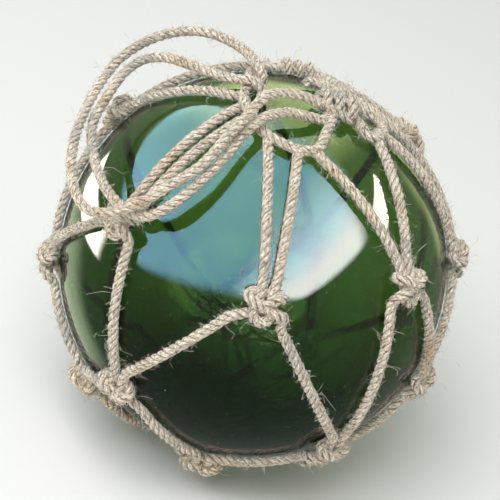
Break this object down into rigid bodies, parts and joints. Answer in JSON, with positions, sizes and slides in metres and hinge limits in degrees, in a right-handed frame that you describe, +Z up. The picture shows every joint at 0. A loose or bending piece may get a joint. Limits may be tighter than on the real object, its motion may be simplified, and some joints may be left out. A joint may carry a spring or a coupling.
{
  "type": "glass float ball",
  "caption": "Sealed green glass float ball in a hand-knotted rope net, with a crown ring, a foot ring and a doubled rope hanging loop.",
  "frame": {"origin": "under the middle of the ball and its net, on the surface that the foot ring stands on", "axes": "+Z up through the net's crown, -Y towards the side that the picture shows, +X to that side's right"},
  "size_m": [0.1598, 0.1574, 0.1622],
  "materials": {
    "green_glass": "bottle-green blown glass, very glossy and see-through, with fine bubbles",
    "jute_rope": "three-strand twisted jute rope, pale beige, dull and hairy"
  },
  "bodies": {
    "root": {"glass_ball": "green_glass", "rope_net": "jute_rope", "crown_ring": "jute_rope", "foot_ring": "jute_rope", "hanging_loop_outer": "jute_rope", "hanging_loop_inner": "jute_rope"}
  },
  "joints": []
}
